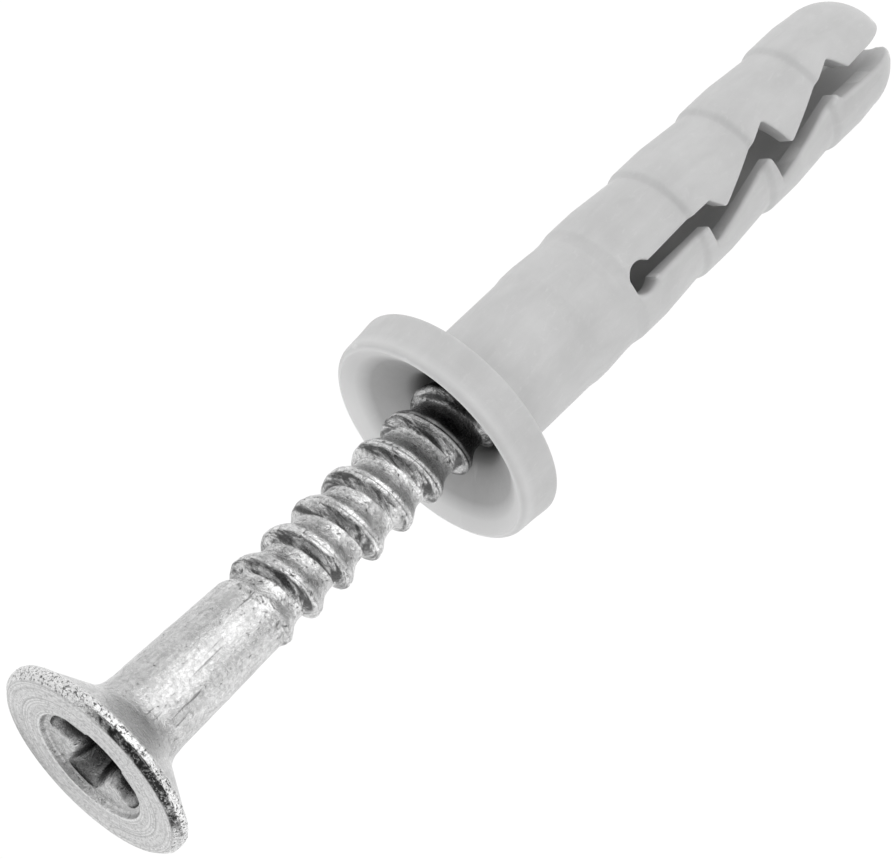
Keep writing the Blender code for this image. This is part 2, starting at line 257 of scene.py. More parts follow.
def plug_line():
    """(radius, y, rounding) along the outside of the plug behind its collar."""
    valley = SLEEVE_RADIUS - VALLEY_DEPTH
    line = [(SLEEVE_RADIUS, BAND_START, 0.6)]
    line.append((SLEEVE_RADIUS + BAND_RISE, BAND_START + BAND_RUN, 0.6))
    line.append((SLEEVE_RADIUS + BAND_RISE, BAND_START + LEVEL_SHARE * BAND_LENGTH, 0.6))
    line.append((valley, BAND_START + BAND_LENGTH, 0.3))
    line.append((valley, BARB_START, 0.8))
    for index in range(BARB_COUNT):
        top = BARB_TOP - BARB_SHRINK * index
        start = BARB_START + BARB_PITCH * index
        line.append((top, start + (STEP_RUN if index else FIRST_STEP_RUN), 0.6))
        line.append((top, start + LEVEL_SHARE * BARB_PITCH, 1.2))
        if start + BARB_PITCH < LEGS_END - NOSE_LENGTH:
            line.append((top - BARB_DROP, start + BARB_PITCH, 0.4))
    wide = top - (1.0 - LEVEL_SHARE) * BARB_DROP
    last = math.acos(NOSE_END_RADIUS / wide)
    for step in range(NOSE_STEPS):
        angle = last * step / NOSE_STEPS
        rise = math.sin(angle) / math.sin(last)
        line.append((wide * math.cos(angle), LEGS_END - NOSE_LENGTH * (1.0 - rise), 0.0))
    line.append((NOSE_END_RADIUS + 0.03, LEGS_END - 0.06, 0.0))
    line.append((NOSE_END_RADIUS - 0.02, LEGS_END, 0.0))
    return line


def radius_at(line, y):
    """The radius of a turned outline at a place along the axis."""
    return float(np.interp(y, [place for _, place in line], [radius for radius, _ in line]))


def make_collar_and_sleeve(material):
    """Dish, lip, collar and sleeve, turned about the axis, as far as the hinges."""
    skin = [point for point in rounded(plug_line()) if point[1] < SEAM_Y]
    outside = [(radius_at(rounded(plug_line()), SEAM_Y), SEAM_Y)] + skin[::-1]
    outside += rounded([
        (SLEEVE_RADIUS, BAND_START - 1.0, 0.0),
        (SLEEVE_RADIUS, 0.0, 0.3),
        (COLLAR_RADIUS, 0.0, COLLAR_BACK_ROUNDING),
        (COLLAR_RADIUS - COLLAR_HOLLOW, 0.45 * COLLAR_FRONT, 1.2),
        (COLLAR_RADIUS - LIP_SETBACK + LIP_RADIUS, COLLAR_FRONT + LIP_RADIUS, 0.0),
    ])
    centre = Vector((COLLAR_RADIUS - LIP_SETBACK, COLLAR_FRONT + LIP_RADIUS))
    size = LIP_RADIUS
    for first, last, steps in ((0.0, LIP_TURN, 8), (LIP_TURN, math.pi - HEAD_CONE, 5)):
        out = Vector((math.cos(first), -math.sin(first)))
        centre += out * (LIP_RADIUS - size)
        for step in range(1, steps + 1):
            angle = first + (last - first) * step / steps
            outside.append((centre.x + size * math.cos(angle), centre.y - size * math.sin(angle)))
        size = LIP_EDGE_ROUNDING
    seated = COLLAR_FRONT - HEAD_PROUD
    dish = [(r + SEAT_CLEARANCE, seated + d) for r, d in flare_depths()[1:]]
    dish = [point for point in dish if point[0] > BORE_RADIUS + 0.01]
    bore = [(BORE_RADIUS, dish[-1][1] + SEAT_FOOT), (BORE_RADIUS, SEAM_Y)]
    line = filled_in(outside + dish + bore, 0.5)
    verts, faces = [], []
    for radius, y in line:
        verts += ring_at(radius, y, SLEEVE_COLUMNS)
    rows = len(line)
    for row in range(rows):
        for k in range(SLEEVE_COLUMNS):
            a, b = row * SLEEVE_COLUMNS, (row + 1) % rows * SLEEVE_COLUMNS
            nxt = (k + 1) % SLEEVE_COLUMNS
            faces.append((a + k, a + nxt, b + nxt, b + k))
    return new_piece("plug_collar_and_sleeve", verts, faces, material)


# ---------------------------------------------------------------- legs


def keyhole_edge():
    """(u, y) round the keyhole to the slot, where u points from the axis into the leg."""
    last = math.asin(SLOT_HALF / KEYHOLE_RADIUS)
    points = []
    for step in range(KEYHOLE_STEPS + 1):
        angle = (math.pi - last) * step / KEYHOLE_STEPS
        reach = KEYHOLE_RADIUS * math.sin(angle)
        points.append((reach, KEYHOLE_Y - KEYHOLE_RADIUS * math.cos(angle), 0.0))
    return points


def right_edge():
    """(u, y, rounding) along the right leg's side of the slot, whose teeth stop at the axis."""
    line = keyhole_edge() + [(SLOT_HALF, TEETH_START - FACE_LEAN, 0.15)]
    for index in range(TOOTH_COUNT):
        face = TEETH_START + BARB_PITCH * index
        line.append((TOOTH_NOTCH, face + FACE_LEAN, TOOTH_ROUNDING))
        line.append((TOOTH_STOP, face + BARB_PITCH - 2.0 * FACE_LEAN, 1.5 * TOOTH_ROUNDING))
    line.append((SLOT_HALF, TEETH_START + TOOTH_COUNT * BARB_PITCH + FACE_LEAN, 0.15))
    line.append((SLOT_HALF + END_FLARE, LEGS_END, 0.0))
    return line


def left_edge():
    """The same along the left leg's side, whose teeth pass over the axis."""
    first = TEETH_START + TOOTH_GAP
    line = keyhole_edge() + [(SLOT_HALF, first - TIP_LEAN, 0.15)]
    for index in range(TOOTH_COUNT):
        tip = first + BARB_PITCH * index
        line.append((-TOOTH_REACH, tip, 1.4 * TOOTH_ROUNDING))
        line.append((TOOTH_NOTCH - TOOTH_STOP, tip + BARB_PITCH - TIP_LEAN, TOOTH_ROUNDING))
    line.append((SLOT_HALF, first + TOOTH_COUNT * BARB_PITCH, 0.15))
    line.append((SLOT_HALF, LEGS_END, 0.0))
    return line


def leg_rows(edge, outside, rounding):
    """Places along the leg: every bend of its outlines, and close rows where the edge is steep."""
    places = {round(y, 4) for _, y in edge + outside if SEAM_Y <= y <= LEGS_END}
    for (u0, y0), (u1, y1) in zip(edge, edge[1:]):
        steps = max(1, math.ceil(math.hypot(u1 - u0, y1 - y0) / 0.3))
        steps = max(steps, math.ceil(abs(u1 - u0) / 0.08) if y1 - y0 < 0.4 else 1)
        places |= {round(y0 + (y1 - y0) * k / steps, 4) for k in range(steps + 1)}
        if abs(u1 - u0) > 2.0 * (y1 - y0):
            for reach in (0.2, 0.45, 0.7, 1.0):
                places.add(round(y0 - reach * rounding, 4))
                places.add(round(y1 + reach * rounding, 4))
    ordered = []
    for y in sorted(place for place in places if SEAM_Y <= place <= LEGS_END):
        if not ordered or y - ordered[-1] > SAME_ROW:
            ordered.append(y)
    if ordered[-1] < LEGS_END:
        ordered[-1] = LEGS_END
    return ordered


def distances(points, line):
    """How far each of the points is from a polyline."""
    starts, ends = np.array(line[:-1]), np.array(line[1:])
    runs = ends - starts
    lengths = np.maximum((runs * runs).sum(1), 1e-12)
    offsets = points[:, None, :] - starts[None]
    share = np.clip((offsets * runs[None]).sum(2) / lengths[None], 0.0, 1.0)
    gaps = offsets - share[..., None] * runs[None]
    return np.sqrt((gaps * gaps).sum(2)).min(1)


def make_leg(name, side, edge_line, edge_rounding, material):
    """One leg: an open ring in section, cut back along the slot, with its edges rounded over."""
    edge = rounded(edge_line)
    outside = rounded(plug_line())
    edge_y = [y for _, y in edge]
    edge_u = [u for u, _ in edge]
    near = [edge_rounding * share for share in (0.0, 0.03, 0.1, 0.22, 0.4, 0.65, 1.0, 1.6)]
    verts, faces = [], []
    rows = leg_rows(edge, outside, edge_rounding)
    for y in rows:
        radius = radius_at(outside, y)
        cut = float(np.interp(y, edge_y, edge_u))
        past = max(y - HINGE_Y, 0.0)
        centre = -SPREAD_PER_MM * (past + NAIL_LEAD) * past
        first = math.acos(cut / radius)
        half_arc = first * radius
        spots = near + list(np.linspace(near[-1], half_arc, LEG_COLUMNS // 2)[1:])
        angles = [first - spot / radius for spot in spots]
        angles += [-angle for angle in reversed(angles[:-1])]
        # The rounding takes at most half of the wall beside the slot.
        top = math.sqrt(max(radius**2 - cut**2, 0.0))
        inner = math.acos(max(-1.0, min(1.0, (cut - centre) / BORE_RADIUS)))
        inner_top = BORE_RADIUS * math.sin(inner)
        rounding = max(0.0, min(edge_rounding, 0.5 * (top - inner_top)))
        u = np.array([radius * math.cos(a) for a in angles])
        z = np.array([radius * math.sin(a) for a in angles])
        if rounding > 0.0:
            away = distances(np.stack([u, np.full_like(u, y)], 1), edge)
            part = np.clip(1.0 - away / rounding, 0.0, 1.0)
            drop = rounding * (1.0 - np.sqrt(1.0 - part * part))
            z = np.sign(z) * np.maximum(np.abs(z) - drop, 0.0)
        for k in range(len(angles)):
            verts.append((side * u[k], y, z[k]))
        # The hollow for the nail, which leans outwards by as much as the leg is to spread.
        shares = [angle / first for angle in angles]
        for share in reversed(shares):
            angle = inner * share
            iu = centre + BORE_RADIUS * math.cos(angle)
            iz = BORE_RADIUS * math.sin(angle)
            if inner < 1e-6:
                iu = cut
            reach = math.hypot(iu, iz)
            widest = radius - THINNEST_WALL
            if reach > widest:
                iu, iz = iu * widest / reach, iz * widest / reach
            verts.append((side * iu, y, iz))
    count = len(angles)
    loop = 2 * count
    for row in range(len(rows) - 1):
        for k in range(loop):
            a, b, nxt = row * loop, (row + 1) * loop, (k + 1) % loop
            faces.append((a + k, a + nxt, b + nxt, b + k))
    for start in (0, (len(rows) - 1) * loop):
        for k in range(count - 1):
            faces.append((start + k, start + k + 1, start + loop - 2 - k, start + loop - 1 - k))
    return new_piece(name, verts, faces, material)


# ---------------------------------------------------------------- nail


def shank_radius(y):
    """The plain shank, which tapers a little towards the thread."""
    start, end = FACE_Y + flare_depths()[-1][1], FACE_Y + SHANK_LENGTH
    share = min(max((y - start) / (end - start), 0.0), 1.0)
    return NECK_RADIUS - SHANK_TAPER * share


def rod_radius(height, x, y, z):
    """Shank or thread at a place, with the dents and rolling marks of a plated nail."""
    fade = min(max((y - THREAD_START) / THREAD_FADE, 0.0), 1.0)
    fade = fade * fade * (3.0 - 2.0 * fade)
    full = THREAD_ROOT + (THREAD_CREST - THREAD_ROOT) * height
    radius = shank_radius(y) * (1.0 - fade) + full * fade
    to_tip = min(max(TIP_Y - y, 0.0) / POINT_LENGTH, 1.0)
    radius = POINT_RADIUS + (radius - POINT_RADIUS) * to_tip
    place = Vector((x, y, z))
    rough = DENT * noise.noise(place * 0.9) + 0.6 * DENT * noise.noise(place * 2.6)
    ragged = RAGGED_CREST * height * fade * noise.noise(place * 1.7 + Vector((7.0, 0.0, 0.0)))
    return radius + to_tip * (rough + ragged - DENT)


def head_rows():
    """(radius, depth) of the face from its middle outwards, the rim, and the underside."""
    line = [(0.4, DIMPLE_DEPTH + 0.45, 0.0), (3.1, DIMPLE_DEPTH + 0.08, 0.3)]
    line += [(DIMPLE_RADIUS - 0.16, DIMPLE_DEPTH, 0.22), (DIMPLE_RADIUS - 0.02, 0.07, 0.05)]
    line += [(DIMPLE_RADIUS + 0.1, 0.02, 0.1)]
    for groove, deep in FACE_GROOVES:
        line.append((groove - GROOVE_WIDTH, FACE_LEVEL, 0.03))
        line.append((groove, FACE_LEVEL + deep, 0.04))
        line.append((groove + GROOVE_WIDTH, FACE_LEVEL, 0.03))
    line += [(CHAMFER_RADIUS, 0.0, 0.3), (HEAD_RADIUS - 0.08, 0.36, 0.2)]
    line += [(RIM_SIDE_RADIUS, 0.46, 0.2), (RIM_SIDE_RADIUS, 0.78, 0.2)]
    line.append((HEAD_RADIUS - 0.1, 0.92, 0.1))
    line.append((FACE_RADIUS, RIM_DEPTH, 0.0))
    return filled_in(rounded(line), 0.22)


def rim_point(radius, depth, angle):
    """The forged rim is rough: small pits and lumps between the face and the underside."""
    out = min(max((radius - FACE_RADIUS - 0.08) / 0.16, 0.0), 1.0)
    under = min(max((2.2 - depth) / 1.0, 0.0), 1.0)
    weight = out * under
    place = Vector((radius * math.sin(angle), depth * 1.4, radius * math.cos(angle)))
    lumps = noise.noise(place * 2.6) * 0.6 + noise.noise(place * 6.5) * 0.7
    waves = noise.noise(place * 0.55)
    radius += weight * (0.045 * lumps - 0.02 + 0.03 * waves)
    depth += weight * (0.045 * noise.noise(place * 5.0 + Vector((3.0, 3.0, 3.0))) + 0.02 * waves)
    return min(radius, HEAD_RADIUS - 0.005), max(depth, 0.0)


def make_nail(material):
    """Head, shank, thread and point as one mesh. The rows of the thread follow its helix."""
    verts, faces = [], []
    wide = 2 * ROD_COLUMNS

    def add_ring(radius, depth, columns):
        start = len(verts)
        for k in range(columns):
            angle = math.tau * k / columns
            r, d = rim_point(radius, depth, angle)
            verts.append((r * math.sin(angle), FACE_Y + d, r * math.cos(angle)))
        return start

    head = head_rows()
    underside = filled_in(flare_depths(), 0.3)[1:]
    starts = [add_ring(radius, depth, wide) for radius, depth in head]
    faces.append(tuple(reversed(range(wide))))
    split = 6
    starts += [add_ring(radius, depth, wide) for radius, depth in underside[:split]]
    for low, high in zip(starts, starts[1:]):
        for k in range(wide):
            nxt = (k + 1) % wide
            faces.append((low + k, low + nxt, high + nxt, high + k))
    coarse = [add_ring(radius, depth, ROD_COLUMNS) for radius, depth in underside[split:]]
    low, high = starts[-1], coarse[0]
    for k in range(ROD_COLUMNS):
        nxt = (k + 1) % ROD_COLUMNS
        middle = low + 2 * k + 1
        faces.append((low + 2 * k, middle, high + k))
        faces.append((middle, high + nxt, high + k))
        faces.append((middle, low + (2 * k + 2) % wide, high + nxt))
    y = FACE_Y + underside[-1][1]
    while y < THREAD_START - 0.05:
        y = min(y + 0.3, THREAD_START)
        start = len(verts)
        for k in range(ROD_COLUMNS):
            angle = math.tau * k / ROD_COLUMNS
            x, z = math.sin(angle), math.cos(angle)
            r = rod_radius(0.0, 2.7 * x, y, 2.7 * z)
            verts.append((r * x, y, r * z))
        coarse.append(start)
    for low, high in zip(coarse, coarse[1:]):
        for k in range(ROD_COLUMNS):
            nxt = (k + 1) % ROD_COLUMNS
            faces.append((low + k, low + nxt, high + nxt, high + k))
    add_thread(verts, faces, coarse[-1], THREAD_START)
    nail = new_piece("nail_screw_forging", verts, faces, material, sharp=50.0)
    nail.data.transform(Matrix.Rotation(THREAD_TURN, 4, "Y"))
    cut_recess(nail)
    return nail


def add_thread(verts, faces, first_ring, begin):
    """Continues a flat ring as rows that follow the helix, down to the point and its tip."""
    per_turn = len(THREAD_SHAPE)
    column_rise = THREAD_PITCH / ROD_COLUMNS
    last = TIP_Y - TIP_ROUNDING
    length = int((last - begin) / column_rise)

    def steps_at(row):
        """How many column rises a row lies past the start, in the first column."""
        turn, phase = divmod(row, per_turn)
        return turn * ROD_COLUMNS + THREAD_SHAPE[phase][0]

    grid = []
    for column in range(ROD_COLUMNS + 1):
        if column == ROD_COLUMNS:
            ids = {row + per_turn: vert for row, vert in grid[0].items()}
            ids = {row - 2 * per_turn: vert for row, vert in ids.items()}
            grid.append(ids)
            break
        angle = math.tau * column / ROD_COLUMNS
        x, z = math.sin(angle), math.cos(angle)
        ids = {}
        row = -per_turn
        while steps_at(row) + column < length:
            steps = steps_at(row) + column
            if steps == 0:
                ids[row] = first_ring + column
            elif steps > 0:
                y = begin + column_rise * steps
                r = rod_radius(THREAD_SHAPE[row % per_turn][1], 2.4 * x, y, 2.4 * z)
                ids[row] = len(verts)
                verts.append((r * x, y, r * z))
            row += 1
        grid.append(ids)
    end_y = begin + column_rise * length
    tip_ring = len(verts)
    for column in range(ROD_COLUMNS):
        angle = math.tau * column / ROD_COLUMNS
        r = rod_radius(0.5, 0.0, end_y, 0.0)
        verts.append((r * math.sin(angle), end_y, r * math.cos(angle)))
    for column in range(ROD_COLUMNS):
        here, after = grid[column], grid[column + 1]
        nxt = (column + 1) % ROD_COLUMNS
        shared = sorted(set(here) & set(after))
        for row in shared[:-1]:
            faces.append((here[row], after[row], after[row + 1], here[row + 1]))
        bottom = shared[0]
        foot, foot_next = first_ring + column, first_ring + nxt
        if bottom - 1 in after:
            faces.append((foot, foot_next, after[bottom - 1]))
            faces.append((foot, after[bottom - 1], after[bottom], here[bottom]))
        elif here[bottom] == foot:
            faces.append((foot, foot_next, after[bottom]))
        else:
            faces.append((foot, foot_next, after[bottom], here[bottom]))
        top = shared[-1]
        if top + 1 in here:
            faces.append((here[top], after[top], here[top + 1]))
            faces.append((here[top + 1], after[top], tip_ring + nxt, tip_ring + column))
        else:
            faces.append((here[top], after[top], tip_ring + nxt, tip_ring + column))
    ring = tip_ring
    for share in (0.35, 0.65, 0.88):
        start = len(verts)
        base = POINT_RADIUS * math.sqrt(1.0 - share**2)
        for column in range(ROD_COLUMNS):
            angle = math.tau * column / ROD_COLUMNS
            y = end_y + (TIP_Y - end_y) * share
            verts.append((base * math.sin(angle), y, base * math.cos(angle)))
            nxt = (column + 1) % ROD_COLUMNS
            faces.append((ring + column, ring + nxt, start + nxt, start + column))
        ring = start
    verts.append((0.0, TIP_Y - 0.005, 0.0))
    for column in range(ROD_COLUMNS):
        faces.append((ring + column, ring + (column + 1) % ROD_COLUMNS, len(verts) - 1))


def recess_outline(half_width, wing, rib):
    """Radius against angle of a cross with rounded corners and a rib between its wings."""
    outline = []
    for step in range(RECESS_STEPS):
        angle = math.tau * step / RECESS_STEPS
        off = (angle + math.pi / 4.0) % (math.pi / 2.0) - math.pi / 4.0
        side = half_width / max(abs(math.sin(off)), 1e-4)
        reach = (side**-6.0 + wing**-6.0) ** (-1.0 / 6.0)
        middle = (math.pi / 4.0 - abs(off)) / RIB_WIDTH
        reach += rib * math.exp(-middle * middle)
        outline.append((angle + RECESS_TURN, reach))
    return outline


def cut_recess(nail):
    """Cuts the tapered driver recess, whose shoulders are rolled over at the top."""
    levels = [(-1.0, 1.0, 2.4, 0.3), (0.1, 1.0, 2.4, 0.3), (0.5, 1.0, 2.1, 0.3)]
    levels += [(0.75, 0.99, 1.7, 0.3), (1.1, 0.94, 1.42, 0.28), (1.7, 0.82, 1.24, 0.24)]
    levels += [(2.4, 0.64, 1.08, 0.18), (2.9, 0.48, 0.86, 0.1), (RECESS_DEPTH, 0.34, 0.6, 0.05)]
    verts, faces = [], []
    for depth, wing, width, rib in levels:
        for angle, reach in recess_outline(0.5 * RECESS_WIDTH * width, wing * RECESS_RADIUS, rib):
            verts.append((reach * math.cos(angle), FACE_Y + depth, reach * math.sin(angle)))
    count = len(verts) // len(levels)
    for level in range(len(levels) - 1):
        low, high = level * count, (level + 1) * count
        for k in range(count):
            nxt = (k + 1) % count
            faces.append((low + k, low + nxt, high + nxt, high + k))
    faces.append(tuple(range(count)))
    faces.append(tuple(reversed(range(len(verts) - count, len(verts)))))
    cutter = new_piece("recess_cutter", verts, faces, nail.data.materials[0])
    modifier = nail.modifiers.new("recess", "BOOLEAN")
    modifier.operation = "DIFFERENCE"
    modifier.solver = "EXACT"
    modifier.object = cutter
    bpy.context.view_layer.update()
    shown = nail.evaluated_get(bpy.context.evaluated_depsgraph_get())
    cut = bpy.data.meshes.new_from_object(shown)
    nail.modifiers.clear()
    nail.data = cut
    bpy.data.objects.remove(cutter, do_unlink=True)
    cut.shade_smooth()
    cut.set_sharp_from_angle(angle=math.radians(50.0))


# ---------------------------------------------------------------- materials


class Shading:
    """A material's node tree, with short ways to add and join nodes."""

    def __init__(self, name):
        self.material = bpy.data.materials.new(name)
        self.material.use_nodes = True
        self.nodes = self.material.node_tree.nodes
        self.links = self.material.node_tree.links
        self.shader = self.nodes["Principled BSDF"]

    def put(self, socket, value):
        """Joins a socket to a node's output, or sets its constant."""
        if isinstance(value, bpy.types.NodeSocket):
            self.links.new(value, socket)
        else:
            socket.default_value = value

    def add(self, kind, inputs=None, **settings):
        node = self.nodes.new(kind)
        for key, value in settings.items():
            setattr(node, key, value)
        for key, value in (inputs or {}).items():
            self.put(node.inputs[key], value)
        return node

    def place(self, scale=(1.0, 1.0, 1.0)):
        """Where a point is on the piece, in millimetres times a scale."""
        coords = self.add("ShaderNodeTexCoord").outputs["Object"]
        size = [value / MM for value in scale]
        return self.add("ShaderNodeMapping", {"Vector": coords, "Scale": size}).outputs[0]

    def grain(self, where, scale, detail=4.0, roughness=0.55, distortion=0.0):
        settings = {"Vector": where, "Scale": scale, "Detail": detail}
        settings.update({"Roughness": roughness, "Distortion": distortion})
        return self.add("ShaderNodeTexNoise", settings).outputs[0]

    def math(self, operation, *values):
        node = self.add("ShaderNodeMath", operation=operation)
        for socket, value in zip(node.inputs, values):
            self.put(socket, value)
        return node.outputs[0]

    def from_axis(self, x, z):
        """How far a place is from the axis of the plug and the nail."""
        squares = self.math("ADD", self.math("MULTIPLY", x, x), self.math("MULTIPLY", z, z))
        return self.math("SQRT", squares)

    def span(self, value, from_min, from_max, to_min=0.0, to_max=1.0):
        """Maps a value from one span to another, and keeps it there."""
        names = {"Value": value, "From Min": from_min, "From Max": from_max}
        names.update({"To Min": to_min, "To Max": to_max})
        return self.add("ShaderNodeMapRange", names).outputs[0]

    def mix(self, share, first, second):
        node = self.add("ShaderNodeMix", data_type="RGBA")
        self.put(node.inputs[0], share)
        self.put(node.inputs[6], first)
        self.put(node.inputs[7], second)
        return node.outputs[2]

    def bump(self, height, distance, strength=1.0, normal=None):
        inputs = {"Height": height, "Distance": distance * MM, "Strength": strength}
        if normal is not None:
            inputs["Normal"] = normal
        return self.add("ShaderNodeBump", inputs).outputs[0]

    def finish(self, **inputs):
        for key, value in inputs.items():
            self.put(self.shader.inputs[key.replace("_", " ")], value)
        return self.material


def grey(value):
    return (value, value, value, 1.0)


def nylon():
    """Satin grey moulded nylon: clouds, flow lines, grain, scuffs, painted highlights on edges,
    lip and outer dish, painted shade in hollows.
    """
    s = Shading("moulded_nylon")
    where = s.place()
    x, along, z = s.add("ShaderNodeSeparateXYZ", {"Vector": where}).outputs
    out = s.from_axis(x, z)

    # The patterns, and the cloudy grey with its scuffs.
    clouds = s.grain(where, 0.32, 3.0, 0.5, 0.4)
    flow = s.grain(s.place((1.0, 0.3, 1.0)), 1.1, 4.0, 0.6, 0.6)
    grain = s.grain(where, 9.0, 3.0)
    specks = s.grain(where, 22.0, 2.0)
    scuffs = s.span(s.grain(s.place((1.0, 0.5, 1.0)), 2.1, 6.0, 0.7, 1.2), 0.56, 0.74)
    tone = s.math("ADD", s.span(clouds, 0.3, 0.7, 0.0, 0.6), s.span(flow, 0.3, 0.7, 0.0, 0.4))
    colour = s.mix(tone, grey(0.5), grey(0.59))
    colour = s.mix(s.math("MULTIPLY", scuffs, 0.25), colour, grey(0.76))

    # Painted highlights: the collar's lip is painted paler, and so is the outer dish, as if more
    # light fell on them.
    lip = s.span(along, COLLAR_FRONT + 1.0, COLLAR_FRONT + 0.3)
    lip = s.math("MULTIPLY", lip, s.span(out, 5.8, 6.3))
    colour = s.mix(s.math("MULTIPLY", lip, 0.4), colour, grey(0.76))
    dish_highlight = s.span(along, COLLAR_FRONT + 1.3, COLLAR_FRONT + 0.9)
    dish_highlight = s.math("MULTIPLY", dish_highlight, s.span(out, 6.9, 6.6))
    dish_highlight = s.math("MULTIPLY", dish_highlight, s.span(out, 5.15, 6.0, 0.0, 0.75))

    # Painted highlights on the edges, found by their pointiness, but not at the seam of sleeve and
    # leg, nor on the legs' round sides.
    edges = s.span(s.add("ShaderNodeNewGeometry").outputs["Pointiness"], 0.53, 0.6)
    from_seam = s.math("ABSOLUTE", s.math("SUBTRACT", along, SEAM_Y))
    edges = s.math("MULTIPLY", edges, s.span(from_seam, 0.3, 0.7, 0.0, 0.4))
    beside_slot = s.span(s.math("ABSOLUTE", x), 2.1, 1.7)
    on_sleeve = s.span(along, SEAM_Y, SEAM_Y - 0.3)
    edges = s.math("MULTIPLY", edges, s.math("MAXIMUM", beside_slot, on_sleeve))
    colour = s.mix(edges, colour, grey(0.82))

    # Painted shade: darker where ambient occlusion finds hollows, in the dish and in the slot, and
    # less of it on the outer dish.
    open_air = s.add("ShaderNodeAmbientOcclusion", {"Distance": 8.0 * MM}, samples=8).outputs["AO"]
    open_air = s.math("ADD", open_air, s.math("MULTIPLY", dish_highlight, 0.5))
    inside = s.span(along, 2.0, 8.0)
    painted_shade = s.mix(inside, grey(0.34), grey(0.38))
    colour = s.mix(s.span(open_air, 0.06, s.span(inside, 0.0, 1.0, 0.74, 0.38)), painted_shade, colour)
    # The outer dish is painted near white, a painted highlight.
    colour = s.mix(dish_highlight, colour, grey(0.95))

    # The satin surface.
    rough = s.math("ADD", s.span(grain, 0.3, 0.7, 0.4, 0.52), s.span(scuffs, 0.0, 1.0, 0.0, 0.1))
    height = s.math("ADD", s.math("MULTIPLY", grain, 0.6), s.math("MULTIPLY", specks, 0.4))
    fine = s.bump(height, 0.012, 0.6)
    normal = s.bump(flow, 0.05, 0.4, fine)
    s.shader.inputs["Subsurface Weight"].default_value = 0.12
    s.shader.inputs["Subsurface Radius"].default_value = (1.0, 1.0, 1.0)
    s.shader.inputs["Subsurface Scale"].default_value = 0.8 * MM
    return s.finish(Base_Color=colour, Roughness=rough, Normal=normal)


